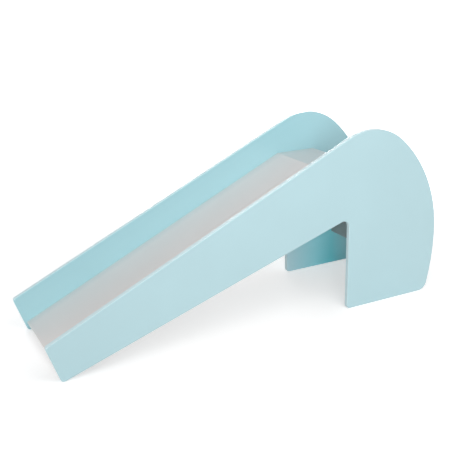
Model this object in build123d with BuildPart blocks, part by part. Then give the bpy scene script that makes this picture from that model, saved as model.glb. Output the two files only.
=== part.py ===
from build123d import *
import math
import os

os.makedirs("parts", exist_ok=True)

# A toddler slide that stands on the floor: two shaped side panels carry a slide
# board, a platform and two closed steps. X runs from the exit to the steps, Y
# across the slide and Z up. The rider's left is at -Y. The side view is set out
# from the front edge of the rear leg, and the finished slide is centred on X.

# Sheets, in millimetres
overall_width = 400.0
panel_thickness = 16.0
board_thickness = 16.0

# Outline of the side panels
toe_reach = 970.0
toe_radius = 12.0
front_top_radius = 10.0
arch_height = 320.0
arch_radius = 22.0
leg_corner_radius = 12.0
hump_behind_leg = 77.0
hump_radius = 196.0
back_swell = 89.0
back_height = 211.0
heel_tuck = 29.0
heel_corner_radius = 35.0
panel_edge_flat = 11.0

# Slide board and platform
exit_height = 30.0
slide_setback = 8.0
guard_height = 92.0
fold_before_leg = 39.0
board_easing = 2.0

# Steps
first_rise = 145.0
step_rise = 160.0
step_going = 112.0
step_inset = 24.0
nosing_overhang = 10.0
nosing_flat = 4.0

# Bores in the sheets
outer_skin = 4.2
bore_end_gap = 0.8
bore_clearance = 0.1

# Wooden dowels
dowel_diameter = 8.0
dowel_length = 30.0
dowel_chamfer = 1.0
board_dowel_margin = 24.0
riser_dowel_margin = 70.0

# Cam fittings: a bolt in the panel, drawn in by a disc let into the board
cam_diameter = 15.0
cam_cover = 3.5
cam_setting = 24.0
cam_clearance = 0.15
cam_slot_length = 9.0
cam_slot_width = 1.8
cam_slot_depth = 2.4
bolt_thread_diameter = 6.0
bolt_shank_diameter = 7.0
bolt_neck_diameter = 4.4
bolt_neck_length = 4.0
bolt_head_length = 3.0
bolt_clearance = 0.25
slide_cams_per_side = 4
slide_cam_margin = 90.0

# Widths, heights and depths that follow from these
inner_width = overall_width - 2 * panel_thickness
half_inner = inner_width / 2
half_board = board_thickness / 2
lower_step_height = first_rise
upper_step_height = lower_step_height + step_rise
platform_height = upper_step_height + step_rise
back_reach = hump_behind_leg + hump_radius + back_swell
lower_step_nose = back_reach - step_inset
upper_step_nose = lower_step_nose - step_going
platform_nose = upper_step_nose - step_going
panel_roundover = (panel_thickness - panel_edge_flat) / 2
nosing_radius = (board_thickness - nosing_flat) / 2


def crossing(start, direction, other_start, other_direction):
    """Point where two lines of the side view cross."""
    span = other_start - start
    turn = direction.X * other_direction.Y - direction.Y * other_direction.X
    reach = (span.X * other_direction.Y - span.Y * other_direction.X) / turn
    return start + direction * reach


# Underside of the trunk: from the corner of the arch to the round toe, which
# touches the floor. The front end is square to it.
arch_corner = Vector(0, arch_height)
toe_centre = Vector(-toe_reach, toe_radius)
toe_to_arch = arch_corner - toe_centre
trunk_tilt = math.atan2(toe_to_arch.Y, toe_to_arch.X) + math.asin(toe_radius / toe_to_arch.length)
trunk_along = Vector(math.cos(trunk_tilt), math.sin(trunk_tilt))
trunk_across = Vector(-math.sin(trunk_tilt), math.cos(trunk_tilt))
toe_corner = toe_centre - (trunk_along + trunk_across) * toe_radius

# Top of the slide board, from the exit to the fold at the platform
level = Vector(1, 0)
exit_point = crossing(toe_corner, trunk_across, Vector(0, exit_height), level)
slide_front_top = exit_point + level * slide_setback
fold_top = Vector(-fold_before_leg, platform_height)
slide_along = (fold_top - slide_front_top).normalized()
slide_up = Vector(-slide_along.Y, slide_along.X)
slide_tilt = math.atan2(slide_along.Y, slide_along.X)

# Top edge of the guards, parallel to the slide, and the hump that it runs into
guard_point = fold_top + slide_up * guard_height
front_top = crossing(toe_corner, trunk_across, guard_point, slide_along)
hump_axis = guard_point - slide_up * hump_radius
hump_centre = crossing(hump_axis, slide_along, Vector(hump_behind_leg, 0), Vector(0, 1))
hump_start = hump_centre + slide_up * hump_radius

# Back: one arc from the hump to the rearmost point, one from there to the heel
rearmost = Vector(back_reach, back_height)
heel_corner = Vector(back_reach - heel_tuck, 0)
hump_lift = hump_centre.Y - back_height
back_radius = hump_radius + (back_swell**2 + hump_lift**2) / (2 * back_swell)
back_centre = rearmost - level * back_radius
hump_end = back_centre + (hump_centre - back_centre).normalized() * back_radius
lower_back_radius = (back_height**2 + heel_tuck**2) / (2 * heel_tuck)
leg_corner = Vector(0, 0)

with BuildSketch() as side_outline:
    with BuildLine():
        Polyline(heel_corner, leg_corner, arch_corner, toe_corner, front_top, hump_start)
        RadiusArc(hump_start, hump_end, hump_radius)
        RadiusArc(hump_end, rearmost, back_radius)
        RadiusArc(rearmost, heel_corner, lower_back_radius)
    make_face()
    corner_radii = (
        (toe_corner, toe_radius),
        (front_top, front_top_radius),
        (arch_corner, arch_radius),
        (leg_corner, leg_corner_radius),
        (heel_corner, heel_corner_radius),
    )
    for corner, radius in corner_radii:
        fillet(side_outline.vertices().sort_by_distance(corner)[0], radius)

# The slide is centred over its length, which puts the leg's front edge at leg_x
outline_box = side_outline.sketch.bounding_box()
leg_x = -(outline_box.min.X + outline_box.max.X) / 2


def side_plane(y):
    """The side view at y, with its origin under the leg's front edge."""
    return Plane(origin=(leg_x, y, 0), x_dir=(1, 0, 0), z_dir=(0, -1, 0))


# Edges of the boards in the side view
fold_bottom = fold_top + Vector(board_thickness * math.tan(slide_tilt / 2), -board_thickness)
slide_front_bottom = slide_front_top - slide_up * board_thickness
platform_underside = platform_height - board_thickness
upper_step_underside = upper_step_height - board_thickness
lower_step_underside = lower_step_height - board_thickness
upper_riser_front = platform_nose - nosing_overhang - board_thickness
lower_riser_front = upper_step_nose - nosing_overhang - board_thickness


def panel_seats(middle, down):
    """Planes on both panels' inner faces at a point in the middle of a board's edge.
    Each looks into its panel, with its x axis towards the board's underside."""
    seats = []
    for side in (-1, 1):
        origin = (leg_x + middle.X, side * half_inner, middle.Y)
        seats.append(Plane(origin=origin, x_dir=(down.X, 0, down.Y), z_dir=(0, side, 0)))
    return seats


def level_board_seats(front, nose, top):
    """Dowel seats and cam seats of a level board: a cam halfway between two dowels."""
    down = Vector(0, -1)
    height = top - half_board
    dowel_seats = panel_seats(Vector(front + board_dowel_margin, height), down)
    dowel_seats += panel_seats(Vector(nose - board_dowel_margin, height), down)
    cam_seats = panel_seats(Vector((front + nose) / 2, height), down)
    return dowel_seats, cam_seats


def riser_seats(front, bottom, top):
    """Dowel seats of a riser in the panels, in the board below and in the board above."""
    middle = front + half_board
    forward = Vector(-1, 0)
    in_panels = panel_seats(Vector(middle, bottom + board_dowel_margin), forward)
    in_panels += panel_seats(Vector(middle, top - board_dowel_margin), forward)
    in_below = []
    in_above = []
    for side in (-1, 1):
        y = side * (half_inner - riser_dowel_margin)
        in_below.append(Plane(origin=(leg_x + middle, y, bottom), z_dir=(0, 0, -1)))
        in_above.append(Plane(origin=(leg_x + middle, y, top), z_dir=(0, 0, 1)))
    return in_panels, in_below, in_above


# Seats along the slide board, with a dowel halfway between each two cams
slide_down = slide_up * -1
slide_middle_front = slide_front_top + slide_down * half_board
slide_length = (fold_top - slide_front_top).length
slide_cam_pitch = (slide_length - 2 * slide_cam_margin) / (slide_cams_per_side - 1)
slide_dowel_seats = []
slide_cam_seats = []
for place in range(slide_cams_per_side):
    cam_point = slide_middle_front + slide_along * (slide_cam_margin + place * slide_cam_pitch)
    slide_cam_seats += panel_seats(cam_point, slide_down)
    if place > 0:
        slide_dowel_seats += panel_seats(cam_point - slide_along * slide_cam_pitch / 2, slide_down)

# Seats of the level boards and of the risers
platform_dowel_seats, platform_cam_seats = level_board_seats(
    fold_top.X, platform_nose, platform_height
)
upper_step_dowel_seats, upper_step_cam_seats = level_board_seats(
    upper_riser_front, upper_step_nose, upper_step_height
)
lower_step_dowel_seats, lower_step_cam_seats = level_board_seats(
    lower_riser_front, lower_step_nose, lower_step_height
)
upper_riser_panel_seats, upper_riser_foot_seats, upper_riser_head_seats = riser_seats(
    upper_riser_front, upper_step_height, platform_underside
)
lower_riser_panel_seats, lower_riser_foot_seats, lower_riser_head_seats = riser_seats(
    lower_riser_front, lower_step_height, upper_step_underside
)
panel_dowel_seats = slide_dowel_seats + platform_dowel_seats
panel_dowel_seats += upper_step_dowel_seats + lower_step_dowel_seats
panel_dowel_seats += upper_riser_panel_seats + lower_riser_panel_seats
panel_cam_seats = slide_cam_seats + platform_cam_seats
panel_cam_seats += upper_step_cam_seats + lower_step_cam_seats

# Depths and radii of the bores. A dowel or thread stops short of the bore's end.
panel_bore = panel_thickness - outer_skin
board_bore = board_thickness - outer_skin
dowel_in_panel = panel_bore - bore_end_gap
dowel_in_board = board_bore - bore_end_gap
dowel_bore_radius = dowel_diameter / 2 + bore_clearance
thread_bore_radius = bolt_thread_diameter / 2 + bore_clearance
bolt_bore_radius = bolt_shank_diameter / 2 + bolt_clearance
bolt_bore_end = cam_setting + bolt_head_length + bolt_clearance
cam_depth = board_thickness - cam_cover
cam_bore_radius = cam_diameter / 2 + cam_clearance
cam_bore_depth = cam_depth + cam_clearance
panel_end_bore = dowel_length - dowel_in_panel + bore_end_gap
board_end_bore = dowel_length - dowel_in_board + bore_end_gap


def rounds(seats, radius):
    """A circle on each seat."""
    with BuildSketch(*seats) as circles:
        Circle(radius)
    return circles.sketch


def cam_faces(cam_seats):
    """Planes on a board's underside below the cams, looking up into the board."""
    faces = []
    for seat in cam_seats:
        middle = seat.origin - seat.z_dir * cam_setting + seat.x_dir * half_board
        faces.append(Plane(origin=middle, x_dir=seat.z_dir, z_dir=seat.x_dir * -1))
    return faces


# Side panels
for label, side in (("left_side_panel", -1), ("right_side_panel", 1)):
    own_dowel_seats = [seat for seat in panel_dowel_seats if seat.origin.Y * side > 0]
    own_cam_seats = [seat for seat in panel_cam_seats if seat.origin.Y * side > 0]
    with BuildPart() as side_panel:
        with BuildSketch(side_plane(side * half_inner)):
            add(side_outline.sketch)
        extrude(amount=-side * panel_thickness)
        broad_faces = side_panel.faces().sort_by(Axis.Y)
        fillet(broad_faces[0].edges() + broad_faces[-1].edges(), panel_roundover)
        extrude(rounds(own_dowel_seats, dowel_bore_radius), panel_bore, mode=Mode.SUBTRACT)
        extrude(rounds(own_cam_seats, thread_bore_radius), panel_bore, mode=Mode.SUBTRACT)
    side_panel.part.label = label
    export_step(side_panel.part, f"parts/{label}.step")

# Slide board, mitred to the platform at the fold
with BuildPart() as slide_board:
    with BuildSketch(side_plane(-half_inner)):
        with BuildLine():
            Polyline(slide_front_top, fold_top, fold_bottom, slide_front_bottom, close=True)
        make_face()
    extrude(amount=-inner_width)
    fillet(slide_board.edges().filter_by(Axis.Y).sort_by(Axis.X)[:2], board_easing)
    extrude(rounds(slide_dowel_seats, dowel_bore_radius), -panel_end_bore, mode=Mode.SUBTRACT)
    extrude(rounds(slide_cam_seats, bolt_bore_radius), -bolt_bore_end, mode=Mode.SUBTRACT)
    extrude(rounds(cam_faces(slide_cam_seats), cam_bore_radius), cam_bore_depth, mode=Mode.SUBTRACT)
slide_board.part.label = "slide_board"
export_step(slide_board.part, "parts/slide_board.step")

# Platform, with the upper riser's dowels in its underside
with BuildPart() as top_platform:
    with BuildSketch(side_plane(-half_inner)):
        with BuildLine():
            nose_top = (platform_nose, platform_height)
            nose_bottom = (platform_nose, platform_underside)
            Polyline(fold_top, nose_top, nose_bottom, fold_bottom, close=True)
        make_face()
    extrude(amount=-inner_width)
    fillet(top_platform.edges().filter_by(Axis.Y).sort_by(Axis.X)[-2:], nosing_radius)
    extrude(rounds(platform_dowel_seats, dowel_bore_radius), -panel_end_bore, mode=Mode.SUBTRACT)
    extrude(rounds(upper_riser_head_seats, dowel_bore_radius), board_bore, mode=Mode.SUBTRACT)
    extrude(rounds(platform_cam_seats, bolt_bore_radius), -bolt_bore_end, mode=Mode.SUBTRACT)
    extrude(rounds(cam_faces(platform_cam_seats), cam_bore_radius), cam_bore_depth, mode=Mode.SUBTRACT)
top_platform.part.label = "top_platform"
export_step(top_platform.part, "parts/top_platform.step")


def make_step(label, front, nose, underside, dowel_seats, cam_seats, riser_dowel_seats):
    """A step with a round nosing, bored for its own fittings and for the risers' dowels."""
    corner = (Align.MIN, Align.MIN)
    with BuildPart() as step_board:
        with BuildSketch(side_plane(-half_inner)):
            with Locations((front, underside)):
                Rectangle(nose - front, board_thickness, align=corner)
        extrude(amount=-inner_width)
        fillet(step_board.edges().filter_by(Axis.Y).sort_by(Axis.X)[-2:], nosing_radius)
        extrude(rounds(dowel_seats, dowel_bore_radius), -panel_end_bore, mode=Mode.SUBTRACT)
        extrude(rounds(riser_dowel_seats, dowel_bore_radius), board_bore, mode=Mode.SUBTRACT)
        extrude(rounds(cam_seats, bolt_bore_radius), -bolt_bore_end, mode=Mode.SUBTRACT)
        extrude(rounds(cam_faces(cam_seats), cam_bore_radius), cam_bore_depth, mode=Mode.SUBTRACT)
    step_board.part.label = label
    export_step(step_board.part, f"parts/{label}.step")


def make_riser(label, front, bottom, top, in_panels, in_boards):
    """A riser between two boards, bored for the dowels in its four edges."""
    corner = (Align.MIN, Align.MIN)
    with BuildPart() as riser:
        with BuildSketch(side_plane(-half_inner)):
            with Locations((front, bottom)):
                Rectangle(board_thickness, top - bottom, align=corner)
        extrude(amount=-inner_width)
        extrude(rounds(in_panels, dowel_bore_radius), -panel_end_bore, mode=Mode.SUBTRACT)
        extrude(rounds(in_boards, dowel_bore_radius), -board_end_bore, mode=Mode.SUBTRACT)
    riser.part.label = label
    export_step(riser.part, f"parts/{label}.step")


# Steps and risers
make_step(
    "upper_step",
    upper_riser_front,
    upper_step_nose,
    upper_step_underside,
    upper_step_dowel_seats,
    upper_step_cam_seats,
    upper_riser_foot_seats + lower_riser_head_seats,
)
make_step(
    "lower_step",
    lower_riser_front,
    lower_step_nose,
    lower_step_underside,
    lower_step_dowel_seats,
    lower_step_cam_seats,
    lower_riser_foot_seats,
)
make_riser(
    "upper_riser",
    upper_riser_front,
    upper_step_height,
    platform_underside,
    upper_riser_panel_seats,
    upper_riser_foot_seats + upper_riser_head_seats,
)
make_riser(
    "lower_riser",
    lower_riser_front,
    lower_step_height,
    upper_step_underside,
    lower_riser_panel_seats,
    lower_riser_foot_seats + lower_riser_head_seats,
)


def make_dowels(label, seats, depth):
    """Chamfered dowels, each standing to a depth in the face under its seat."""
    with BuildPart() as dowels:
        with BuildSketch(*[seat.offset(depth) for seat in seats]):
            Circle(dowel_diameter / 2)
        extrude(amount=-dowel_length)
        chamfer(dowels.edges().filter_by(GeomType.CIRCLE), dowel_chamfer)
    dowels.part.label = label
    export_step(dowels.part, f"parts/{label}.step")


def make_cam_bolts(label, seats):
    """Cam bolts: a thread in the panel, a shank, a thin neck and a head in the cam."""
    neck_start = cam_setting - bolt_neck_length
    with BuildPart() as bolts:
        extrude(rounds(seats, bolt_thread_diameter / 2), panel_bore - bore_end_gap)
        extrude(rounds(seats, bolt_shank_diameter / 2), -neck_start)
        neck_seats = [seat.offset(-neck_start) for seat in seats]
        extrude(rounds(neck_seats, bolt_neck_diameter / 2), -bolt_neck_length)
        head_seats = [seat.offset(-cam_setting) for seat in seats]
        extrude(rounds(head_seats, bolt_shank_diameter / 2), -bolt_head_length)
    bolts.part.label = label
    export_step(bolts.part, f"parts/{label}.step")


def make_cam_discs(label, seats):
    """Cam discs with a side bore for the bolt's head and a crossed screwdriver slot."""
    faces = cam_faces(seats)
    with BuildPart() as discs:
        extrude(rounds(faces, cam_diameter / 2), cam_depth)
        extrude(rounds(seats, bolt_bore_radius), -bolt_bore_end, mode=Mode.SUBTRACT)
        with BuildSketch(*faces):
            Rectangle(cam_slot_length, cam_slot_width)
            Rectangle(cam_slot_width, cam_slot_length)
        extrude(amount=cam_slot_depth, mode=Mode.SUBTRACT)
    discs.part.label = label
    export_step(discs.part, f"parts/{label}.step")


# Fittings of each board
make_dowels("slide_board_dowels", slide_dowel_seats, dowel_in_panel)
make_dowels("platform_dowels", platform_dowel_seats, dowel_in_panel)
make_dowels("upper_step_dowels", upper_step_dowel_seats, dowel_in_panel)
make_dowels("lower_step_dowels", lower_step_dowel_seats, dowel_in_panel)
make_dowels("upper_riser_side_dowels", upper_riser_panel_seats, dowel_in_panel)
make_dowels("lower_riser_side_dowels", lower_riser_panel_seats, dowel_in_panel)
make_dowels(
    "upper_riser_upright_dowels", upper_riser_foot_seats + upper_riser_head_seats, dowel_in_board
)
make_dowels(
    "lower_riser_upright_dowels", lower_riser_foot_seats + lower_riser_head_seats, dowel_in_board
)
cam_seats_by_board = (
    ("slide_board", slide_cam_seats),
    ("platform", platform_cam_seats),
    ("upper_step", upper_step_cam_seats),
    ("lower_step", lower_step_cam_seats),
)
for board_name, cam_seats in cam_seats_by_board:
    make_cam_bolts(f"{board_name}_cam_bolts", cam_seats)
    make_cam_discs(f"{board_name}_cam_discs", cam_seats)
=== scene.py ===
"""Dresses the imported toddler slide: lacquered sheets, detailed fittings, a studio stage."""

import math

import bmesh
import bpy
from mathutils import Matrix, Vector


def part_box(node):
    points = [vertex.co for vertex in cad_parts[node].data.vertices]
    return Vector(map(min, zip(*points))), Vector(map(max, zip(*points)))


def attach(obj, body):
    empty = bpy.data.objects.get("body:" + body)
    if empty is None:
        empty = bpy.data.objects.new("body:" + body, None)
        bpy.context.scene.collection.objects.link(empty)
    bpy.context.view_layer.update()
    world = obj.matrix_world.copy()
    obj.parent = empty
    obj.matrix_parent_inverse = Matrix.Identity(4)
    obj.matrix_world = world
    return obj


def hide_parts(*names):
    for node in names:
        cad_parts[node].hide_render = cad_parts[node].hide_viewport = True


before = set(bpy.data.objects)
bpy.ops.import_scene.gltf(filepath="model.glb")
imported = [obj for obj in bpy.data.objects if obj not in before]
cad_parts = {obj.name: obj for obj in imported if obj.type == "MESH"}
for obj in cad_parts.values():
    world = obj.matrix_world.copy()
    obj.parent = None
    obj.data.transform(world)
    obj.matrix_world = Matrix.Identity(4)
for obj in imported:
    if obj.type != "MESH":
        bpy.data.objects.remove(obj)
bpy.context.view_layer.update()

bl_info = {
    "name": "Toddler Slide",
    "version": (1, 0, 0),
    "blender": (4, 5, 0),
    "location": "3D View > Sidebar > Slide",
    "description": "Lacquers a toddler slide, models its fittings and sets a studio stage",
    "category": "Object",
}

BODY = "root"
MM = 0.001

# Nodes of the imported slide
SIDE_PANELS = ("left_side_panel", "right_side_panel")
BOARDS = (
    "slide_board",
    "top_platform",
    "upper_step",
    "lower_step",
    "upper_riser",
    "lower_riser",
)
CROSS_DOWELS = (
    "slide_board_dowels",
    "platform_dowels",
    "upper_step_dowels",
    "lower_step_dowels",
    "upper_riser_side_dowels",
    "lower_riser_side_dowels",
)
UPRIGHT_DOWELS = ("upper_riser_upright_dowels", "lower_riser_upright_dowels")
# Boards with cam fittings, by the word that their fittings' names start with
CAM_BOARDS = {
    "slide_board": "slide_board",
    "platform": "top_platform",
    "upper_step": "upper_step",
    "lower_step": "lower_step",
}

# Lines of points to a dowel's flute
FLUTE_LINES = 3

# Cam bolt as it is packed; its heights are measured from the panel's inner face
BOLT_THREAD_RADIUS = 3.0 * MM
BOLT_THREAD_LENGTH = 11.0 * MM
BOLT_SHANK_RADIUS = 3.5 * MM
BOLT_NECK_RADIUS = 2.2 * MM
BOLT_NECK_START = 20.0 * MM
BOLT_HEAD_START = 24.0 * MM
BOLT_HEAD_END = 27.0 * MM

# Small forms of the bolt
BOLT_SIDES = 40
BOLT_EASE = 0.4 * MM
BOLT_CROSS_WIDTH = 1.1 * MM
BOLT_CROSS_DEPTH = 1.6 * MM
# One tooth of the thread in four strokes: shares of its depth outwards and of its pitch upwards
THREAD_TOOTH = ((1.0, 0.36), (0.0, 0.10), (-1.0, 0.24), (0.0, 0.30))
THREAD_STEPS = 28
THREAD_SPARE_TURNS = 4
THREAD_TIP_LENGTH = 1.2 * MM
THREAD_TIP_TAPER = 0.2 * MM
THREAD_ROOM = 0.1 * MM
THREAD_INTO_SHANK = 0.6 * MM
ENVELOPE_SIDES = 48

# Cam disc as it is packed, and how far under its face the bolt's axis lies
CAM_RADIUS = 7.5 * MM
CAM_DEPTH = 12.5 * MM
CAM_BOLT_DEPTH = 8.0 * MM

# Small forms of the disc
CAM_SIDES = 72
CAM_EDGE = 0.35 * MM
CAM_DISH_TAPER = 0.97
CAM_CROSS_WIDTH = 1.8 * MM
CAM_CROSS_DEPTH = 2.4 * MM
MOUTH_SIDES = 40
MOUTH_ROOM = 0.25 * MM
CHAMBER_SIDES = 48
CHAMBER_EASE = 0.6 * MM
SLOT_ROOM = 0.5 * MM
SLOT_STEPS = 24
ARROW_RADIUS = 0.8 * MM
ARROW_HEIGHT = 0.7 * MM
ARROW_FROM_AXIS = 5.3 * MM

# Modelling: how far a tool stands out of what it cuts, and how slim a cross recess ends
OVERSHOOT = 1.0 * MM
CROSS_FOOT = 0.86
# What counts as the same place or the same way, and up to which angle faces are smoothed
TOUCH = 0.001 * MM
MERGE = 0.002 * MM
SOLID_MERGE = 0.01 * MM
SAME_WAY = 0.99
DOWEL_SMOOTH = math.radians(24.0)
FITTING_SMOOTH = math.radians(32.0)

# Where the lacquers carry a painted highlight and painted shade: shares of the panel's
# thickness from its inner face, depths under the slide's surface, and the width of the
# painted shade along the panels
EDGE_HIGHLIGHT_BAND = (0.02, 0.14)
FACE_BAND = (0.88, 0.99)
DEEP_BAND = (30.0 * MM, 280.0 * MM)
JOINT_SHADE_BAND = 50.0 * MM
PANEL_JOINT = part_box("slide_board")[1][1]
RISER_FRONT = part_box("lower_riser")[0][0]
STEP_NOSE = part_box("lower_step")[1][0]
# The platform starts this far before the front edge of the rear legs
FOLD_BEFORE_LEG = 39.0 * MM
LEG_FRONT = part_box("top_platform")[0][0] + FOLD_BEFORE_LEG
# What stands in front of each open step and the tread it has behind it
OPEN_STEPS = (
    ("top_platform", "top_platform"),
    ("upper_riser", "upper_step"),
    ("lower_riser", "lower_step"),
)

# Patterns of the finishes; a noise's scale is the number of its lumps in a metre
NOISE_LOW = 0.3
NOISE_HIGH = 0.7
CLOUD_SCALE = 5.0
CLOUD_TONES = (0.985, 1.015)
HAZE_SCALE = 28.0
HAZE_GLOSS = 0.04
PEEL_SCALE = 420.0
PEEL_STRENGTH = 0.12
PEEL_DEPTH = 0.3 * MM
STREAK_SCALE = 900.0
STREAK_STRETCH = 0.08
STREAK_STOPS = (0.35, 0.62, 0.8)
STREAK_ROUGHNESS = (0.72, 0.58)
FLECK_TONE = 1.12
FIBRE_SCALE = 3500.0
FIBRE_STRENGTH = 0.35
FIBRE_DEPTH = 0.1 * MM
METAL_CLOUD_SCALE = 260.0
METAL_TONES = (0.86, 1.1)
METAL_GLOSS = 0.08
METAL_GRAIN_STRENGTH = 0.25

# Stage: the ways in which the even lights stand, and the point at which the softbox looks
EXIT_LIGHT = (-0.945, -0.253, 0.208)
FILL_LIGHT = (-0.485, -0.857, 0.174)
REAR_LIGHT = (0.35, 0.93, 0.115)
EVEN_LIGHT_DISTANCE = 3.0
KEY_AIM = (0.1, 0.0, 0.3)
# The floor is plain white at this many times the distance at which it begins to whiten
WHITE_SPREAD = 2.5
WHITE = (1.0, 1.0, 1.0, 1.0)
# In millimetres
SENSOR_WIDTH = 36.0

# What settings of one kind have in common
COLOUR = {"subtype": "COLOR", "min": 0.0, "max": 1.0}
SHARE = {"subtype": "FACTOR", "min": 0.0, "max": 1.0}
PLACE = {"subtype": "TRANSLATION", "unit": "LENGTH"}


# Settings that a user would change

class SlideFinishSettings(bpy.types.PropertyGroup):
    """Colours and gloss of the lacquers, the wood and the metals."""

    panel_colour: bpy.props.FloatVectorProperty(
        name="Panel lacquer",
        description="Pale turquoise lacquer of the two side panels",
        default=(0.4, 0.592, 0.635),
        **COLOUR,
    )
    # Painted highlight: a paler lacquer on all edges of the sheets
    panel_edge_highlight_colour: bpy.props.FloatVectorProperty(
        name="Panel edges",
        description="Chalkier lacquer where the sheet's edge has drunk it in",
        default=(0.487, 0.657, 0.697),
        **COLOUR,
    )
    # Painted shade: a deeper copy of the outer lacquer on the faces that look inwards
    panel_inner_shade_colour: bpy.props.FloatVectorProperty(
        name="Panel inside",
        description="Slightly deeper turquoise of the faces that look inwards",
        default=(0.325, 0.575, 0.63),
        **COLOUR,
    )
    # Painted bounce light: a lighter, fuller turquoise on the inner faces deep under the slide
    panel_deep_bounce_colour: bpy.props.FloatVectorProperty(
        name="Panel under the slide",
        description="Lighter turquoise of the inner faces deep under the slide board",
        default=(0.5, 0.73, 0.8),
        **COLOUR,
    )
    # Painted shade: the fullest turquoise between the legs under the steps
    panel_deepest_shade_colour: bpy.props.FloatVectorProperty(
        name="Panel under the steps",
        description="Fullest turquoise, between the legs under the steps",
        default=(0.14, 0.66, 0.745),
        **COLOUR,
    )
    panel_gloss_roughness: bpy.props.FloatProperty(
        name="Panel roughness",
        description="Roughness of the panels' satin lacquer, low for shiny and high for matt",
        default=0.40,
        **SHARE,
    )
    board_colour: bpy.props.FloatVectorProperty(
        name="Board lacquer",
        description="Light grey lacquer of the slide board, platform, steps and risers",
        default=(0.64, 0.597, 0.584),
        **COLOUR,
    )
    # Painted shade: a cooler, duller grey where the panels shade the boards and tint their light
    board_joint_shade_colour: bpy.props.FloatVectorProperty(
        name="Board beside the panels",
        description="Cooler, duller grey along the joints with the panels",
        default=(0.49, 0.53, 0.523),
        **COLOUR,
    )
    # Painted shade: a duller grey on the boards' hidden faces deep under the slide
    board_deep_shade_colour: bpy.props.FloatVectorProperty(
        name="Board under the slide",
        description="Duller grey on the hidden faces of the boards deep under the slide",
        default=(0.325, 0.298, 0.286),
        **COLOUR,
    )
    board_gloss_roughness: bpy.props.FloatProperty(
        name="Board roughness",
        description="Roughness of the boards' lacquer, low for shiny and high for matt",
        default=0.38,
        **SHARE,
    )
    beech_colour: bpy.props.FloatVectorProperty(
        name="Beech",
        description="Light wood of the dowels",
        default=(0.58, 0.36, 0.19),
        **COLOUR,
    )
    beech_grain_colour: bpy.props.FloatVectorProperty(
        name="Beech grain",
        description="Darker streaks in the wood of the dowels",
        default=(0.40, 0.22, 0.10),
        **COLOUR,
    )
    steel_colour: bpy.props.FloatVectorProperty(
        name="Plated steel",
        description="Bright zinc plating of the cam bolts",
        default=(0.52, 0.53, 0.55),
        **COLOUR,
    )
    zinc_colour: bpy.props.FloatVectorProperty(
        name="Cast zinc",
        description="Grey die-cast zinc of the cam discs",
        default=(0.40, 0.41, 0.43),
        **COLOUR,
    )


class SlideFittingSettings(bpy.types.PropertyGroup):
    """Sizes of the dowels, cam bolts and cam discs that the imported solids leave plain."""

    dowel_flutes: bpy.props.IntProperty(
        name="Flutes",
        description="Glue grooves round a dowel",
        min=6,
        default=24,
    )
    flute_depth: bpy.props.FloatProperty(
        name="Flute depth",
        description="Depth of a glue groove",
        unit="LENGTH",
        default=0.3 * MM,
    )
    dowel_chamfer: bpy.props.FloatProperty(
        name="Dowel chamfer",
        description="Chamfer at both ends of a dowel",
        unit="LENGTH",
        default=1.0 * MM,
    )
    thread_pitch: bpy.props.FloatProperty(
        name="Thread pitch",
        description="Rise of the bolt's wood thread in one turn",
        unit="LENGTH",
        default=2.2 * MM,
    )
    thread_depth: bpy.props.FloatProperty(
        name="Thread depth",
        description="Height of the bolt's thread over its core",
        unit="LENGTH",
        default=0.8 * MM,
    )
    bolt_cross: bpy.props.FloatProperty(
        name="Bolt cross",
        description="Width over the cross recess in the bolt's head",
        unit="LENGTH",
        default=4.6 * MM,
    )
    cam_rim: bpy.props.FloatProperty(
        name="Cam rim",
        description="Width of the raised rim round the disc's face",
        unit="LENGTH",
        default=1.1 * MM,
    )
    cam_dish: bpy.props.FloatProperty(
        name="Cam dish",
        description="How far the disc's face lies under its rim",
        unit="LENGTH",
        default=0.5 * MM,
    )
    cam_cross: bpy.props.FloatProperty(
        name="Cam cross",
        description="Width over the cross recess in the disc's face",
        unit="LENGTH",
        default=9.0 * MM,
    )
    cam_turn: bpy.props.FloatProperty(
        name="Cam turn",
        description="Angle of the curved slot in which the bolt's neck runs",
        subtype="ANGLE",
        default=math.radians(150.0),
    )


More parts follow.
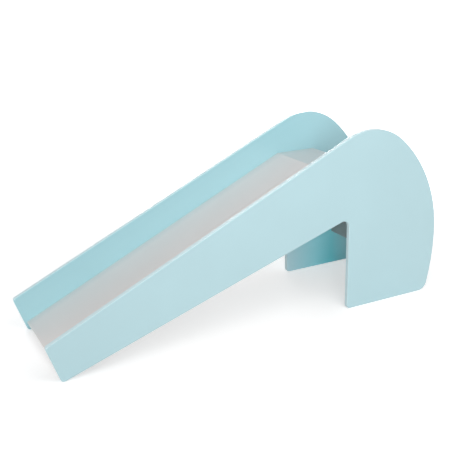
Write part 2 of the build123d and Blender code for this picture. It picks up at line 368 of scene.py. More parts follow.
class SlideStageSettings(bpy.types.PropertyGroup):
    """Camera, light and floor of the studio."""

    camera_place: bpy.props.FloatVectorProperty(
        name="Camera place",
        description="Where the camera stands in the slide's frame",
        default=(-1.1118, -2.1427, 1.1028),
        **PLACE,
    )
    camera_yaw: bpy.props.FloatProperty(
        name="Yaw",
        description="Turn of the camera from the +Y direction towards +X",
        subtype="ANGLE",
        default=math.radians(26.92),
    )
    camera_pitch: bpy.props.FloatProperty(
        name="Pitch",
        description="How far the camera looks down from the level",
        subtype="ANGLE",
        default=math.radians(18.45),
    )
    camera_roll: bpy.props.FloatProperty(
        name="Roll",
        description="Lean of the camera about its own line of sight",
        subtype="ANGLE",
        default=math.radians(-1.46),
    )
    camera_lens: bpy.props.FloatProperty(
        name="Focal length",
        description="Focal length on a 36 mm wide sensor",
        unit="CAMERA",
        min=10.0,
        default=62.22,
    )
    room_strength: bpy.props.FloatProperty(
        name="Room light",
        description="Even light that reaches the slide from all round",
        min=0.0,
        default=0.45,
    )
    key_power: bpy.props.FloatProperty(
        name="Key softbox",
        description="Power of the large softbox on the camera's side",
        unit="POWER",
        min=0.0,
        default=11.2,
    )
    key_size: bpy.props.FloatProperty(
        name="Key size",
        description="Side of the square key softbox",
        unit="LENGTH",
        min=0.1,
        default=1.25,
    )
    key_place: bpy.props.FloatVectorProperty(
        name="Key place",
        description="Where the middle of the key softbox hangs",
        default=(0.0, -1.25, 1.6),
        **PLACE,
    )
    exit_strength: bpy.props.FloatProperty(
        name="Exit light",
        description="Low light beyond the exit, on the edges that look down the slide",
        min=0.0,
        default=0.71,
    )
    exit_width: bpy.props.FloatProperty(
        name="Exit width",
        description="How wide the exit light looks from the slide",
        subtype="ANGLE",
        default=math.radians(40.0),
    )
    fill_strength: bpy.props.FloatProperty(
        name="Fill light",
        description="Low light beside the camera, which reaches in through the arch",
        min=0.0,
        default=1.36,
    )
    rear_strength: bpy.props.FloatProperty(
        name="Rear light",
        description="Low light on the side that is turned away from the camera",
        min=0.0,
        default=1.9,
    )
    fill_width: bpy.props.FloatProperty(
        name="Fill width",
        description="How wide the fill light and the rear light look from the slide",
        subtype="ANGLE",
        default=math.radians(24.0),
    )
    floor_size: bpy.props.FloatProperty(
        name="Floor size",
        description="Side of the square studio floor",
        unit="LENGTH",
        min=2.0,
        default=60.0,
    )
    floor_colour: bpy.props.FloatVectorProperty(
        name="Floor",
        description="Matt white of the studio floor",
        default=(0.8, 0.8, 0.8),
        **COLOUR,
    )
    floor_seen_colour: bpy.props.FloatVectorProperty(
        name="Floor as seen",
        description="Colour of the floor to the camera, on which the shadow falls",
        default=(0.71, 0.71, 0.71),
        **COLOUR,
    )
    floor_glow: bpy.props.FloatProperty(
        name="Floor glow",
        description="Plain white added to the floor as it is seen, like white paper",
        default=0.5,
        **SHARE,
    )
    gloss_glow: bpy.props.FloatProperty(
        name="Glow in a gloss",
        description="Share of the floor's glow in a gloss, where it is white and no brighter",
        default=0.3,
        **SHARE,
    )
    white_from: bpy.props.FloatProperty(
        name="White from",
        description="Distance from the slide's middle at which the floor begins to whiten",
        unit="LENGTH",
        min=0.1,
        default=0.7,
    )
    # Painted contact shade: the floor's glow is darkened where the slide stands close
    contact_reach: bpy.props.FloatProperty(
        name="Contact reach",
        description="How far from the slide the floor is dulled where the slide stands close",
        unit="LENGTH",
        min=0.0,
        default=0.25,
    )
    contact_glow: bpy.props.FloatProperty(
        name="Contact glow",
        description="Share of the glow that is left right under the slide",
        default=0.95,
        **SHARE,
    )


# Nodes of materials, floor and room

def empty_tree(owner):
    """The node tree of a material or a world, with nothing in it."""
    owner.use_nodes = True
    owner.node_tree.nodes.clear()
    return owner.node_tree


def set_inputs(tree, node, inputs):
    """Sets a node's inputs, each to a plain value or to another node's socket."""
    for key, value in inputs.items():
        if isinstance(value, bpy.types.NodeSocket):
            tree.links.new(value, node.inputs[key])
        else:
            node.inputs[key].default_value = value


def add_node(tree, kind, inputs, **settings):
    """A new node with its settings and inputs."""
    node = tree.nodes.new(kind)
    for name, value in settings.items():
        setattr(node, name, value)
    set_inputs(tree, node, inputs)
    return node


def add_noise(tree, place, scale, detail, roughness=0.5, stretch=(1.0, 1.0, 1.0)):
    """Noise in metres: scale is how many of its lumps fit in a metre."""
    mapping = add_node(tree, "ShaderNodeMapping", {"Vector": place, "Scale": stretch})
    noise = add_node(tree, "ShaderNodeTexNoise", {
        "Vector": mapping.outputs["Vector"],
        "Scale": scale,
        "Detail": detail,
        "Roughness": roughness,
    })
    return noise.outputs["Fac"]


def add_range(tree, value, low, high, start=NOISE_LOW, end=NOISE_HIGH, curve="LINEAR"):
    """A value stretched from start and end to low and high."""
    stretch = add_node(tree, "ShaderNodeMapRange", {
        "Value": value,
        "From Min": start,
        "From Max": end,
        "To Min": low,
        "To Max": high,
    }, interpolation_type=curve)
    return stretch.outputs["Result"]


def add_rise(tree, value, start, end):
    """0 up to a start and 1 from an end on."""
    return add_range(tree, value, 0.0, 1.0, start, end)


def add_math(tree, operation, first, second=0.0):
    """Two values worked into one, each of which is a socket or a plain number."""
    worked = add_node(tree, "ShaderNodeMath", {0: first, 1: second}, operation=operation)
    return worked.outputs["Value"]


def add_parts(tree, place):
    """X, Y and Z of a place."""
    apart = add_node(tree, "ShaderNodeSeparateXYZ", {"Vector": place})
    return apart.outputs["X"], apart.outputs["Y"], apart.outputs["Z"]


def add_mix(tree, factor, first, second):
    """One colour that goes over into another as a factor rises from 0 to 1."""
    inputs = {"Factor": factor, "A": first, "B": second}
    return add_node(tree, "ShaderNodeMix", inputs, data_type="RGBA").outputs["Result"]


def add_ramp(tree, value, stops):
    """A colour ramp: stops are pairs of a place and a colour."""
    ramp = add_node(tree, "ShaderNodeValToRGB", {"Fac": value})
    elements = ramp.color_ramp.elements
    while len(elements) < len(stops):
        elements.new(0.5)
    for element, (position, colour) in zip(elements, stops):
        element.position = position
        element.color = (*colour, 1.0)
    return ramp.outputs["Color"]


def add_bump(tree, height, strength, distance):
    """A normal with small relief, in metres."""
    relief = {"Height": height, "Strength": strength, "Distance": distance}
    return add_node(tree, "ShaderNodeBump", relief).outputs["Normal"]


# Materials

def new_material(name):
    """A new material, its node tree, its shader and Object coordinates for its patterns."""
    material = bpy.data.materials.new(name)
    tree = empty_tree(material)
    shader = add_node(tree, "ShaderNodeBsdfPrincipled", {})
    add_node(tree, "ShaderNodeOutputMaterial", {"Surface": shader.outputs["BSDF"]})
    place = add_node(tree, "ShaderNodeTexCoord", {}).outputs["Object"]
    return material, tree, shader, place


def shade(colour, factor):
    """A colour made darker or lighter by a factor."""
    return tuple(min(1.0, channel * factor) for channel in colour)


def add_clouded(tree, clouds, colour, tones=CLOUD_TONES):
    """One colour, darker and lighter in clouds."""
    dark, light = (shade(colour, tone) for tone in tones)
    return add_ramp(tree, clouds, ((NOISE_LOW, dark), (NOISE_HIGH, light)))


def lacquer(name, add_tint, finish, roughness):
    """Sprayed satin lacquer: faint clouds of colour and gloss, and a fine orange peel."""
    material, tree, shader, place = new_material(name)
    clouds = add_noise(tree, place, CLOUD_SCALE, detail=3.0)
    haze = add_noise(tree, place, HAZE_SCALE, detail=4.0)
    peel = add_noise(tree, place, PEEL_SCALE, detail=2.0)
    set_inputs(tree, shader, {
        "Base Color": add_tint(tree, place, clouds, finish),
        "Roughness": add_range(tree, haze, roughness - HAZE_GLOSS, roughness + HAZE_GLOSS),
        "Normal": add_bump(tree, peel, PEEL_STRENGTH, PEEL_DEPTH),
        "Specular IOR Level": 0.9,
        "Coat Weight": 1.0,
        "Coat Roughness": 0.3,
    })
    return material


def add_depth(tree, place):
    """How deep a place lies under the slide: 0 on it, above the steps and at their open rear.
    The painted light and shade under the slide follow it.
    """
    x, _, z = add_parts(tree, place)
    down = underside("slide_board")
    head = Vector(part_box("slide_board")[1])
    surface = down.x * head.x + down.z * head.z
    under = add_node(tree, "ShaderNodeVectorMath", {0: place, 1: down}, operation="DOT_PRODUCT")
    start, end = (surface + below for below in DEEP_BAND)
    depth = add_rise(tree, under.outputs["Value"], start, end)
    for front, tread in OPEN_STEPS:
        front_low, front_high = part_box(front)
        tread_low, tread_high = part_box(tread)
        behind = add_rise(tree, x, front_low[0], front_high[0])
        above = add_rise(tree, z, tread_low[2], tread_high[2])
        in_the_open = add_math(tree, "MULTIPLY", behind, above)
        hidden = add_math(tree, "SUBTRACT", 1.0, in_the_open)
        depth = add_math(tree, "MULTIPLY", depth, hidden)
    from_rear = add_range(tree, x, 1.0, 0.0, RISER_FRONT, STEP_NOSE)
    return add_math(tree, "MULTIPLY", depth, from_rear)


def add_panel_tint(tree, place, clouds, finish):
    """Outer face, painted highlight on the edge and painted shade on the inner face of the sheet,
    and painted bounce light and shade deep under the slide.
    """
    x, y, _ = add_parts(tree, place)
    from_middle = add_math(tree, "ABSOLUTE", y)
    low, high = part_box("right_side_panel")
    through = add_rise(tree, from_middle, low[1], high[1])
    on_edge = add_rise(tree, through, *EDGE_HIGHLIGHT_BAND)
    on_face = add_rise(tree, through, *FACE_BAND)
    between_legs = add_rise(tree, x, LEG_FRONT, RISER_FRONT)

    outer = add_clouded(tree, clouds, finish.panel_colour)
    # Painted highlight on the sheet's edges
    edge = add_clouded(tree, clouds, finish.panel_edge_highlight_colour)
    # Painted shade on the faces that look inwards
    inner = add_clouded(tree, clouds, finish.panel_inner_shade_colour)
    # Painted bounce light under the slide, going over into painted shade under the steps
    bounce_under_slide = add_clouded(tree, clouds, finish.panel_deep_bounce_colour)
    shade_under_steps = add_clouded(tree, clouds, finish.panel_deepest_shade_colour)
    deep = add_mix(tree, between_legs, bounce_under_slide, shade_under_steps)
    inside = add_mix(tree, add_depth(tree, place), inner, deep)
    return add_mix(tree, on_face, add_mix(tree, on_edge, inside, edge), outer)


def add_board_tint(tree, place, clouds, finish):
    """One grey on the boards, with painted shade along the panels and deep under the slide."""
    _, y, _ = add_parts(tree, place)
    from_middle = add_math(tree, "ABSOLUTE", y)
    # Painted shade along the joints with the panels
    near_joint = add_rise(tree, from_middle, PANEL_JOINT - JOINT_SHADE_BAND, PANEL_JOINT)
    at_joint = add_math(tree, "MULTIPLY", near_joint, near_joint)
    open_grey = add_clouded(tree, clouds, finish.board_colour)
    joint_shade_grey = add_clouded(tree, clouds, finish.board_joint_shade_colour)
    # Painted shade deep under the slide
    deep_shade_grey = add_clouded(tree, clouds, finish.board_deep_shade_colour)
    shown_grey = add_mix(tree, at_joint, open_grey, joint_shade_grey)
    return add_mix(tree, add_depth(tree, place), shown_grey, deep_shade_grey)


def beech(name, colour, grain_colour, along):
    """Turned beech: pale wood with darker streaks along the dowel and short flecks."""
    material, tree, shader, place = new_material(name)
    drawn_out = tuple(STREAK_STRETCH if axis == along else 1.0 for axis in "XYZ")
    streaks = add_noise(tree, place, STREAK_SCALE, detail=3.0, roughness=0.55, stretch=drawn_out)
    fibres = add_noise(tree, place, FIBRE_SCALE, detail=2.0, stretch=drawn_out)
    grain = (grain_colour, colour, shade(colour, FLECK_TONE))
    set_inputs(tree, shader, {
        "Base Color": add_ramp(tree, streaks, tuple(zip(STREAK_STOPS, grain))),
        "Roughness": add_range(tree, streaks, *STREAK_ROUGHNESS),
        "Normal": add_bump(tree, fibres, FIBRE_STRENGTH, FIBRE_DEPTH),
        "Specular IOR Level": 0.35,
    })
    return material


def metal(name, colour, roughness, grain_scale, grain_depth):
    """Bare or plated metal: a clouded tone and gloss over a fine grain."""
    material, tree, shader, place = new_material(name)
    clouds = add_noise(tree, place, METAL_CLOUD_SCALE, detail=3.0)
    grain = add_noise(tree, place, grain_scale, detail=2.0)
    set_inputs(tree, shader, {
        "Base Color": add_clouded(tree, clouds, colour, METAL_TONES),
        "Roughness": add_range(tree, clouds, roughness + METAL_GLOSS, roughness - METAL_GLOSS),
        "Normal": add_bump(tree, grain, METAL_GRAIN_STRENGTH, grain_depth),
        "Metallic": 1.0,
    })
    return material


def dress(node_names, material):
    """Puts one material on CAD nodes."""
    for name in node_names:
        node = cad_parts[name]
        node.data.materials.clear()
        node.data.materials.append(material)


# Modelling by hand

def take(*pieces):
    """Selects pieces and nothing else, and makes the first one active."""
    bpy.ops.object.select_all(action="DESELECT")
    for piece in pieces:
        piece.select_set(True)
    bpy.context.view_layer.objects.active = pieces[0]


def new_piece(add, location=(0, 0, 0), **size):
    """A new primitive from one of Blender's operators, alone in the selection."""
    bpy.ops.object.select_all(action="DESELECT")
    add(location=location, **size)
    return bpy.context.object


def open_mesh():
    """Opens the active piece for editing, with all of it selected."""
    bpy.ops.object.mode_set(mode="EDIT")
    bpy.ops.mesh.select_all(action="SELECT")


def close_mesh():
    """Ends the editing of a piece."""
    bpy.ops.object.mode_set(mode="OBJECT")


def settle():
    """Puts the place and turn of what is selected into its mesh."""
    bpy.ops.object.transform_apply(location=True, rotation=True, scale=True)


def pick(kind, test):
    """Selects those vertices, edges or faces of the edited mesh that pass a test."""
    mesh = bpy.context.edit_object.data
    bpy.ops.mesh.select_mode(type=kind)
    bpy.ops.mesh.select_all(action="DESELECT")
    shape = bmesh.from_edit_mesh(mesh)
    for item in {"VERT": shape.verts, "EDGE": shape.edges, "FACE": shape.faces}[kind]:
        if test(item):
            item.select_set(True)
    bmesh.update_edit_mesh(mesh)


def pick_end(side):
    """Selects the end face up or down Z, which has more corners than a side face."""
    pick("FACE", lambda face: side * face.normal.z > SAME_WAY and len(face.verts) > 4)


def widen(factor, height):
    """Widens or narrows what is picked about the Z axis."""
    bpy.ops.transform.resize(value=(factor, factor, 1.0), center_override=(0, 0, height))


def draw_out(value):
    """Extrudes what is picked."""
    bpy.ops.mesh.extrude_region_move(TRANSFORM_OT_translate={"value": value})


def merge_doubles():
    """Merges the points of the edited mesh that share a place."""
    bpy.ops.mesh.select_all(action="SELECT")
    bpy.ops.mesh.remove_doubles(threshold=MERGE)


def face_outwards():
    """Turns all faces of the edited mesh outwards."""
    bpy.ops.mesh.select_all(action="SELECT")
    bpy.ops.mesh.normals_make_consistent(inside=False)


def start_round(name, sides, radius, depth, middle):
    """A cylinder on the Z axis, open for editing."""
    add = bpy.ops.mesh.primitive_cylinder_add
    piece = new_piece(add, (0, 0, middle), vertices=sides, radius=radius, depth=depth)
    piece.name = name
    settle()
    open_mesh()
    return piece


def draw_end(side, length, factor):
    """Draws the end face on one side further out, and widens or narrows it."""
    shape = bmesh.from_edit_mesh(bpy.context.edit_object.data)
    top = max(side * vert.co.z for vert in shape.verts)
    pick_end(side)
    draw_out((0, 0, side * length))
    widen(factor, side * (top + length))


def turned(name, sides, profile):
    """A turned solid: pairs of a radius and a height, from its lowest end up."""
    (first_radius, start), (second_radius, end) = profile[:2]
    piece = start_round(name, sides, first_radius, end - start, (start + end) / 2)
    if second_radius != first_radius:
        pick_end(1)
        widen(second_radius / first_radius, end)
    for (radius, height), (next_radius, next_height) in zip(profile[1:], profile[2:]):
        draw_end(1, next_height - height, next_radius / radius)
    close_mesh()
    return piece


def cut(piece, tool, operation="DIFFERENCE"):
    """Cuts a tool out of a piece, adds it or keeps what both share, and clears it away."""
    boolean = piece.modifiers.new("cut", "BOOLEAN")
    boolean.operation = operation
    boolean.solver = "EXACT"
    boolean.object = tool
    take(piece)
    bpy.ops.object.modifier_apply(modifier=boolean.name)
    clear_away(tool)


def clear_away(piece):
    """Removes a tool or a master with its mesh."""
    mesh = piece.data
    bpy.data.objects.remove(piece)
    bpy.data.meshes.remove(mesh)


def on_bar_side(face, along, distance):
    """Whether a face looks along a level way, lies at a distance and stands before the axis."""
    middle = face.calc_center_median()
    looks = face.normal.dot(along) > SAME_WAY
    before_axis = abs(middle.cross(along).z) < TOUCH
    return looks and before_axis and middle.dot(along) > distance - TOUCH


def cross_tool(span, width, top, bottom):
    """A cross-shaped driver: a square bar with its sides drawn out, slimmer at its foot."""
    tool = new_piece(bpy.ops.mesh.primitive_cube_add, size=width)
    open_mesh()
    tall = (top - bottom) / width
    bpy.ops.transform.resize(value=(1.0, 1.0, tall), center_override=(0, 0, 0))
    bpy.ops.transform.translate(value=(0, 0, (top + bottom) / 2))
    reach = (span - width) / 2
    for way in ((1, 0, 0), (-1, 0, 0), (0, 1, 0), (0, -1, 0)):
        along = Vector(way)
        pick("FACE", lambda face: on_bar_side(face, along, width / 2))
        draw_out(along * reach)
    pick("FACE", lambda face: face.normal.z < -SAME_WAY)
    widen(CROSS_FOOT, bottom)
    close_mesh()
    return tool


def finish_master(piece, angle):
    """Closes and smooths a fitting that is copied afterwards."""
    take(piece)
    open_mesh()
    merge_doubles()
    face_outwards()
    close_mesh()
    bpy.ops.object.shade_smooth_by_angle(angle=angle)


def loose_parts(node_name):
    """Middle and size of each separate solid of a CAD node, from a merged copy of its mesh."""
    solids = bmesh.new()
    solids.from_mesh(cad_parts[node_name].data)
    bmesh.ops.remove_doubles(solids, verts=solids.verts, dist=SOLID_MERGE)
    parts = []
    for vert in solids.verts:
        vert.tag = False
    for start in solids.verts:
        if start.tag:
            continue
        start.tag = True
        joined = [start]
        for vert in joined:
            for edge in vert.link_edges:
                other = edge.other_vert(vert)
                if not other.tag:
                    other.tag = True
                    joined.append(other)
        low = Vector([min(vert.co[axis] for vert in joined) for axis in range(3)])
        high = Vector([max(vert.co[axis] for vert in joined) for axis in range(3)])
        parts.append(((low + high) / 2, high - low))
    solids.free()
    return parts


def underside(board_name):
    """Direction in which the large lower face of a board looks."""
    areas = {}
    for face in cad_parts[board_name].data.polygons:
        if face.normal.z < 0:
            way = tuple(round(share, 4) for share in face.normal)
            areas[way] = areas.get(way, 0.0) + face.area
    return Vector(max(areas, key=areas.get)).normalized()


def standing_at(middle, across, along):
    """A place from its middle, its X direction and its Z direction."""
    side = along.cross(across)
    return Matrix.Translation(middle) @ Matrix((across, side, along)).transposed().to_4x4()


def set_in_place(master, places, name, node_name, material):
    """One copy of a fitting at each place, joined to one piece that stands for a CAD node."""
    copies = []
    for place in places:
        take(master)
        bpy.ops.object.duplicate(linked=False)
        copy = bpy.context.object
        copy.matrix_world = place
        copies.append(copy)
    take(*copies)
    settle()
    bpy.ops.object.join()
    piece = bpy.context.object
    piece.name = name
    piece.data.name = name
    piece.data.materials.clear()
    piece.data.materials.append(material)
    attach(piece, BODY)
    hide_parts(node_name)


# Operators

class SLIDE_OT_side_panels(bpy.types.Operator):
    """Lacquer the two side panels"""

    bl_idname = "slide.side_panels"
    bl_label = "Side panels"
    bl_options = {"REGISTER", "UNDO"}

    def execute(self, context):
        finish = context.scene.slide_finish
        roughness = finish.panel_gloss_roughness
        dress(SIDE_PANELS, lacquer("turquoise_lacquer", add_panel_tint, finish, roughness))
        return {"FINISHED"}


class SLIDE_OT_boards(bpy.types.Operator):
    """Lacquer the slide board, the platform, the steps and the risers"""

    bl_idname = "slide.boards"
    bl_label = "Boards"
    bl_options = {"REGISTER", "UNDO"}

    def execute(self, context):
        finish = context.scene.slide_finish
        roughness = finish.board_gloss_roughness
        dress(BOARDS, lacquer("grey_lacquer", add_board_tint, finish, roughness))
        return {"FINISHED"}


class SLIDE_OT_dowels(bpy.types.Operator):
    """Model the fluted beech dowels"""

    bl_idname = "slide.dowels"
    bl_label = "Dowels"
    bl_options = {"REGISTER", "UNDO"}

    def execute(self, context):
        finish = context.scene.slide_finish
        master = self.model_dowel(context.scene.slide_fittings)
        colours = (finish.beech_colour, finish.beech_grain_colour)
        across = Vector((1.0, 0.0, 0.0))
        for names, axis, along in (
            (CROSS_DOWELS, "Y", Vector((0.0, 1.0, 0.0))),
            (UPRIGHT_DOWELS, "Z", Vector((0.0, 0.0, 1.0))),
        ):
            wood = beech(f"beech_along_{axis}", *colours, axis)
            for name in names:
                places = [standing_at(middle, across, along) for middle, _ in loose_parts(name)]
                fluted = name.replace("dowels", "fluted_dowels")
                set_in_place(master, places, fluted, name, wood)
        clear_away(master)
        return {"FINISHED"}

    @staticmethod
    def model_dowel(fittings):
        """A dowel on the Z axis: of a flute's lines of points one is drawn in."""
        size = loose_parts(CROSS_DOWELS[0])[0][1]
        radius = min(size) / 2
        length = max(size)
        chamfer = fittings.dowel_chamfer
        lines = FLUTE_LINES * fittings.dowel_flutes
        dowel = start_round("dowel", lines, radius, length - 2 * chamfer, 0.0)

        def in_flute(vert):
            line = round(math.atan2(vert.co.y, vert.co.x) / (2 * math.pi) * lines)
            return line % FLUTE_LINES == 0

        pick("VERT", in_flute)
        widen((radius - fittings.flute_depth) / radius, 0)
        for side in (1, -1):
            draw_end(side, chamfer, (radius - chamfer) / radius)
        close_mesh()
        finish_master(dowel, DOWEL_SMOOTH)
        return dowel


class SLIDE_OT_cam_bolts(bpy.types.Operator):
    """Model the threaded cam bolts"""

    bl_idname = "slide.cam_bolts"
    bl_label = "Cam bolts"
    bl_options = {"REGISTER", "UNDO"}

    def execute(self, context):
        colour = context.scene.slide_finish.steel_colour
        steel = metal(
            "plated_steel", colour, roughness=0.3, grain_scale=2600.0, grain_depth=0.02 * MM)
        master = self.model_bolt(context.scene.slide_fittings)
        level = Vector((1.0, 0.0, 0.0))
        to_panel = BOLT_THREAD_LENGTH / 2 - BOLT_HEAD_END / 2
        for board in CAM_BOARDS:
            name = f"{board}_cam_bolts"
            places = []
            for middle, _ in loose_parts(name):
                inwards = Vector((0.0, -math.copysign(1.0, middle.y), 0.0))
                places.append(standing_at(middle + inwards * to_panel, level, inwards))
            set_in_place(
                master, places, f"{board}_threaded_bolts", name, steel)
        clear_away(master)
        return {"FINISHED"}

    def model_bolt(self, fittings):
        """A bolt on the Z axis: its thread under 0, and shank, neck and head above."""
        shank = BOLT_SHANK_RADIUS
        neck = BOLT_NECK_RADIUS
        ease = BOLT_EASE
        bolt = turned("bolt", BOLT_SIDES, (
            (shank - ease, 0.0),
            (shank, ease),
            (shank, BOLT_NECK_START - ease),
            (shank - ease, BOLT_NECK_START),
            (neck, BOLT_NECK_START),
            (neck, BOLT_HEAD_START),
            (shank - ease, BOLT_HEAD_START),
            (shank, BOLT_HEAD_START + ease),
            (shank, BOLT_HEAD_END - 2 * ease),
            (shank - 2 * ease, BOLT_HEAD_END),
        ))
        cut(bolt, self.model_thread(fittings), "UNION")
        foot = BOLT_HEAD_END - BOLT_CROSS_DEPTH
        cut(bolt, cross_tool(fittings.bolt_cross, BOLT_CROSS_WIDTH, BOLT_HEAD_END + ease, foot))
        finish_master(bolt, FITTING_SMOOTH)
        return bolt

    @staticmethod
    def model_thread(fittings):
        """A wood thread: a tooth's outline wound up the Z axis and cut off at both ends."""
        pitch = fittings.thread_pitch
        crest = BOLT_THREAD_RADIUS
        core = crest - fittings.thread_depth
        thread = new_piece(bpy.ops.mesh.primitive_plane_add, size=1.0 * MM)
        open_mesh()
        bpy.ops.mesh.select_mode(type="VERT")
        bpy.ops.mesh.merge(type="CENTER")
        bpy.ops.mesh.select_all(action="SELECT")
        foot = -BOLT_THREAD_LENGTH - 2 * pitch
        bpy.ops.transform.translate(value=(core, 0.0, foot))
        for out, up in THREAD_TOOTH:
            draw_out((out * fittings.thread_depth, 0.0, up * pitch))
        close_mesh()
        winding = thread.modifiers.new("winding", "SCREW")
        winding.axis = "Z"
        winding.angle = 2 * math.pi
        winding.screw_offset = pitch
        winding.iterations = math.ceil(BOLT_THREAD_LENGTH / pitch) + THREAD_SPARE_TURNS
        winding.steps = THREAD_STEPS
        winding.render_steps = THREAD_STEPS
        winding.use_merge_vertices = True
        winding.merge_threshold = TOUCH
        bpy.ops.object.modifier_apply(modifier=winding.name)
        open_mesh()
        merge_doubles()
        for height, looks in ((-BOLT_THREAD_LENGTH, -1.0), (OVERSHOOT, 1.0)):
            bpy.ops.mesh.select_all(action="SELECT")
            bpy.ops.mesh.bisect(
                plane_co=(0, 0, height), plane_no=(0, 0, looks), use_fill=True, clear_outer=True)
        face_outwards()
        close_mesh()
        cut(thread, turned("envelope", ENVELOPE_SIDES, (
            (core - THREAD_TIP_TAPER, -BOLT_THREAD_LENGTH),
            (crest + THREAD_ROOM, -BOLT_THREAD_LENGTH + THREAD_TIP_LENGTH),
            (crest + THREAD_ROOM, THREAD_INTO_SHANK),
        )), "INTERSECT")
        return thread


class SLIDE_OT_cam_discs(bpy.types.Operator):
    """Model the cast cam discs"""

    bl_idname = "slide.cam_discs"
    bl_label = "Cam discs"
    bl_options = {"REGISTER", "UNDO"}

    def execute(self, context):
        colour = context.scene.slide_finish.zinc_colour
        zinc = metal(
            "cast_zinc", colour, roughness=0.45, grain_scale=1800.0, grain_depth=0.05 * MM)
        master = self.model_disc(context.scene.slide_fittings)
        for board, board_node in CAM_BOARDS.items():
            name = f"{board}_cam_discs"
            outwards = underside(board_node)
            places = []
            for middle, _ in loose_parts(name):
                to_panel = Vector((0.0, math.copysign(1.0, middle.y), 0.0))
                places.append(standing_at(middle, to_panel, outwards))
            set_in_place(master, places, f"{board}_cast_discs", name, zinc)
        clear_away(master)
        return {"FINISHED"}

    def model_disc(self, fittings):
        """Face up on Z, the bolt's mouth on X: rim, dish, mouth, chamber, slot, cross, arrow."""
        top = CAM_DEPTH / 2
        dish = top - fittings.cam_dish
        disc = start_round("disc", CAM_SIDES, CAM_RADIUS, CAM_DEPTH, 0.0)

        def on_rim(edge):
            first, second = (vert.co.z for vert in edge.verts)
            return abs(first) > top - TOUCH and abs(first - second) < TOUCH

        pick("EDGE", on_rim)
        bpy.ops.mesh.bevel(offset=CAM_EDGE, segments=2, affect="EDGES")
        pick("FACE", lambda face: face.normal.z > SAME_WAY)
        bpy.ops.mesh.inset(thickness=fittings.cam_rim, depth=0.0)
        draw_out((0, 0, -fittings.cam_dish))
        widen(CAM_DISH_TAPER, dish)
        close_mesh()

        bolt_height = top - CAM_BOLT_DEPTH
        mouth = BOLT_SHANK_RADIUS + MOUTH_ROOM
        cut(disc, self.mouth_tool(mouth, bolt_height))
        cut(disc, turned("chamber", CHAMBER_SIDES, (
            (mouth - CHAMBER_EASE, bolt_height - mouth),
            (mouth, bolt_height - mouth + CHAMBER_EASE),
            (mouth, bolt_height + mouth - CHAMBER_EASE),
            (mouth - CHAMBER_EASE, bolt_height + mouth),
        )))
        cut(disc, self.slot_tool(fittings, bolt_height))
        foot = top - CAM_CROSS_DEPTH
        cut(disc, cross_tool(fittings.cam_cross, CAM_CROSS_WIDTH, top + OVERSHOOT, foot))
        cut(disc, self.arrow(dish), "UNION")
        finish_master(disc, FITTING_SMOOTH)
        return disc

    @staticmethod
    def mouth_tool(radius, height):
        """A round bar that lies along X from the disc's axis outwards, for the bolt's mouth."""
        bar = turned("mouth", MOUTH_SIDES, ((radius, 0.0), (radius, CAM_RADIUS + 2 * OVERSHOOT)))
        laid_down = Matrix.Rotation(math.pi / 2, 4, "Y")
        bar.matrix_world = Matrix.Translation((0, 0, height)) @ laid_down
        take(bar)
        settle()
        return bar

    @staticmethod
    def slot_tool(fittings, height):
        """A square bar swept round the disc's axis, for the slot in which the neck runs."""
        inner = BOLT_NECK_RADIUS
        outer = CAM_RADIUS + OVERSHOOT
        tall = 2 * BOLT_NECK_RADIUS + SLOT_ROOM
        upright = (math.pi / 2, 0, 0)
        tool = new_piece(bpy.ops.mesh.primitive_plane_add, size=1.0, rotation=upright)
        settle()
        open_mesh()
        bpy.ops.transform.resize(value=(outer - inner, 1.0, tall), center_override=(0, 0, 0))
        bpy.ops.transform.translate(value=((outer + inner) / 2, 0.0, height))
        bpy.ops.mesh.spin(
            steps=SLOT_STEPS, angle=fittings.cam_turn, center=(0, 0, 0), axis=(0, 0, 1))
        merge_doubles()
        face_outwards()
        close_mesh()
        return tool

    @staticmethod
    def arrow(dish):
        """A small raised arrow beside the cross, on the side of the bolt."""
        arrow = start_round("arrow", 3, ARROW_RADIUS, ARROW_HEIGHT, dish)
        bpy.ops.transform.rotate(value=math.pi / 2, orient_axis="Z", center_override=(0, 0, 0))
        bpy.ops.transform.translate(value=(ARROW_FROM_AXIS, 0.0, 0.0))
        close_mesh()
        return arrow


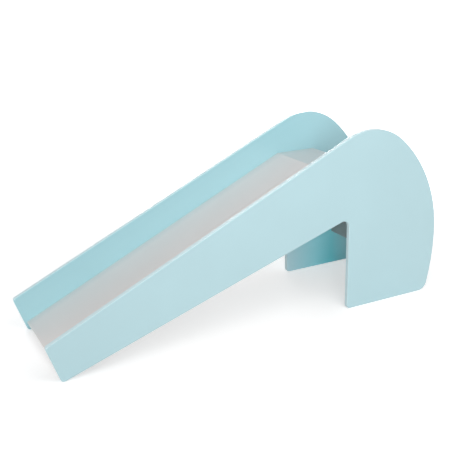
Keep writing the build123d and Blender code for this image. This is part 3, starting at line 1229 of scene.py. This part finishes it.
class SLIDE_OT_stage(bpy.types.Operator):
    """Set the floor, the light and the camera"""

    bl_idname = "slide.stage"
    bl_label = "Stage"
    bl_options = {"REGISTER", "UNDO"}

    def execute(self, context):
        stage = context.scene.slide_stage
        context.scene.view_settings.view_transform = "Standard"
        self.make_floor(stage)
        self.make_room(context.scene, stage)
        self.hang_key(stage)
        self.hang_even("exit_light", stage.exit_strength, stage.exit_width, EXIT_LIGHT)
        self.hang_even("fill_light", stage.fill_strength, stage.fill_width, FILL_LIGHT)
        self.hang_even("rear_light", stage.rear_strength, stage.fill_width, REAR_LIGHT)
        self.place_camera(context.scene, stage)
        return {"FINISHED"}

    @staticmethod
    def seen_directly(tree, gloss_share=1.0):
        """1 for camera rays, and a share for rays from a gloss or a clear surface."""
        path = add_node(tree, "ShaderNodeLightPath", {})
        seen = path.outputs["Is Camera Ray"]
        for name in ("Is Glossy Ray", "Is Transmission Ray"):
            part = add_math(tree, "MULTIPLY", path.outputs[name], gloss_share)
            seen = add_math(tree, "MAXIMUM", seen, part)
        return seen

    def make_floor(self, stage):
        """A matt floor that takes the shadow, with a white glow where it is seen."""
        floor = new_piece(bpy.ops.mesh.primitive_plane_add, size=stage.floor_size)
        floor.name = "studio_floor"
        paint = bpy.data.materials.new("studio_white")
        tree = empty_tree(paint)
        seen = self.seen_directly(tree, stage.gloss_glow)
        tint = add_mix(tree, seen, (*stage.floor_colour, 1.0), (*stage.floor_seen_colour, 1.0))
        glow = add_math(tree, "MULTIPLY", self.floor_glow(tree, stage), seen)
        matt = add_node(tree, "ShaderNodeBsdfDiffuse", {"Color": tint})
        white = add_node(tree, "ShaderNodeEmission", {"Strength": glow})
        both = add_node(tree, "ShaderNodeAddShader", {
            0: matt.outputs["BSDF"],
            1: white.outputs["Emission"],
        })
        add_node(tree, "ShaderNodeOutputMaterial", {"Surface": both.outputs["Shader"]})
        floor.data.materials.append(paint)

    @staticmethod
    def floor_glow(tree, stage):
        """Glow that rises to plain white away from the slide, with painted contact shade close to
        it.
        """
        place = add_node(tree, "ShaderNodeTexCoord", {}).outputs["Object"]
        away = add_node(tree, "ShaderNodeVectorMath", {0: place}, operation="LENGTH")
        white_at = WHITE_SPREAD * stage.white_from
        spread = add_range(
            tree, away.outputs["Value"], stage.floor_glow, 1.0,
            start=stage.white_from, end=white_at, curve="SMOOTHSTEP")
        # Painted contact shade, from ambient occlusion
        close = add_node(tree, "ShaderNodeAmbientOcclusion", {"Distance": stage.contact_reach})
        contact_shade = add_range(tree, close.outputs["AO"], stage.contact_glow, 1.0, start=0.0, end=1.0)
        return add_math(tree, "MULTIPLY", spread, contact_shade)

    def make_room(self, scene, stage):
        """A weak white light from all round, which is plain white where it is seen."""
        room = bpy.data.worlds.new("studio_room")
        tree = empty_tree(room)
        light = add_node(tree, "ShaderNodeBackground", {
            "Color": WHITE,
            "Strength": stage.room_strength,
        })
        white = add_node(tree, "ShaderNodeBackground", {"Color": WHITE})
        blend = add_node(tree, "ShaderNodeMixShader", {
            0: self.seen_directly(tree),
            1: light.outputs["Background"],
            2: white.outputs["Background"],
        })
        add_node(tree, "ShaderNodeOutputWorld", {"Surface": blend.outputs["Shader"]})
        scene.world = room

    @staticmethod
    def hang_key(stage):
        """The softbox, near enough that the slide's ends get a little less of it."""
        bpy.ops.object.light_add(type="AREA", location=stage.key_place)
        key = bpy.context.object
        key.name = "key_softbox"
        key.data.shape = "SQUARE"
        key.data.size = stage.key_size
        key.data.energy = stage.key_power
        key.visible_camera = False
        aim = Vector(KEY_AIM) - Vector(stage.key_place)
        key.rotation_euler = aim.to_track_quat("-Z", "Y").to_euler()

    @staticmethod
    def hang_even(name, strength, width, way):
        """A wide light that is the same at every point of the stage."""
        bpy.ops.object.light_add(type="SUN", location=Vector(way) * EVEN_LIGHT_DISTANCE)
        lamp = bpy.context.object
        lamp.name = name
        lamp.data.angle = width
        lamp.data.energy = strength
        lamp.rotation_euler = Vector(way).to_track_quat("Z", "Y").to_euler()

    @staticmethod
    def place_camera(scene, stage):
        """The camera at the photograph's viewing angle."""
        yaw = stage.camera_yaw
        pitch = stage.camera_pitch
        level = Vector((math.sin(yaw), math.cos(yaw), 0.0))
        ahead = level * math.cos(pitch) - Vector((0.0, 0.0, math.sin(pitch)))
        right = Vector((math.cos(yaw), -math.sin(yaw), 0.0))
        up = right.cross(ahead)
        lean = Matrix.Rotation(stage.camera_roll, 3, ahead)
        bpy.ops.object.camera_add(location=stage.camera_place)
        camera = bpy.context.object
        camera.name = "photo_camera"
        axes = Matrix((right, up, -ahead)).transposed()
        camera.rotation_euler = (lean.inverted() @ axes).to_euler()
        camera.data.lens = stage.camera_lens
        camera.data.sensor_width = SENSOR_WIDTH
        scene.camera = camera


class SLIDE_PT_sidebar(bpy.types.Panel):
    """Lists the steps that dress the slide"""

    bl_idname = "SLIDE_PT_sidebar"
    bl_label = "Toddler Slide"
    bl_space_type = "VIEW_3D"
    bl_region_type = "UI"
    bl_category = "Slide"

    def draw(self, context):
        for title, settings in (
            ("Finish", context.scene.slide_finish),
            ("Fittings", context.scene.slide_fittings),
            ("Stage", context.scene.slide_stage),
        ):
            box = self.layout.box()
            box.label(text=title)
            for name in settings.__annotations__:
                box.prop(settings, name)
        for operator in OPERATORS:
            self.layout.operator(operator.bl_idname)


SETTINGS = (SlideFinishSettings, SlideFittingSettings, SlideStageSettings)
OPERATORS = (
    SLIDE_OT_side_panels,
    SLIDE_OT_boards,
    SLIDE_OT_dowels,
    SLIDE_OT_cam_bolts,
    SLIDE_OT_cam_discs,
    SLIDE_OT_stage,
)
CLASSES = (*SETTINGS, *OPERATORS, SLIDE_PT_sidebar)


def register():
    for cls in CLASSES:
        bpy.utils.register_class(cls)
    bpy.types.Scene.slide_finish = bpy.props.PointerProperty(type=SlideFinishSettings)
    bpy.types.Scene.slide_fittings = bpy.props.PointerProperty(type=SlideFittingSettings)
    bpy.types.Scene.slide_stage = bpy.props.PointerProperty(type=SlideStageSettings)


def unregister():
    del bpy.types.Scene.slide_stage
    del bpy.types.Scene.slide_fittings
    del bpy.types.Scene.slide_finish
    for cls in reversed(CLASSES):
        bpy.utils.unregister_class(cls)


def main():
    """Dresses the slide in the order of the sidebar."""
    register()
    bpy.ops.slide.side_panels()
    bpy.ops.slide.boards()
    bpy.ops.slide.dowels()
    bpy.ops.slide.cam_bolts()
    bpy.ops.slide.cam_discs()
    bpy.ops.slide.stage()


if __name__ == "__main__":
    main()
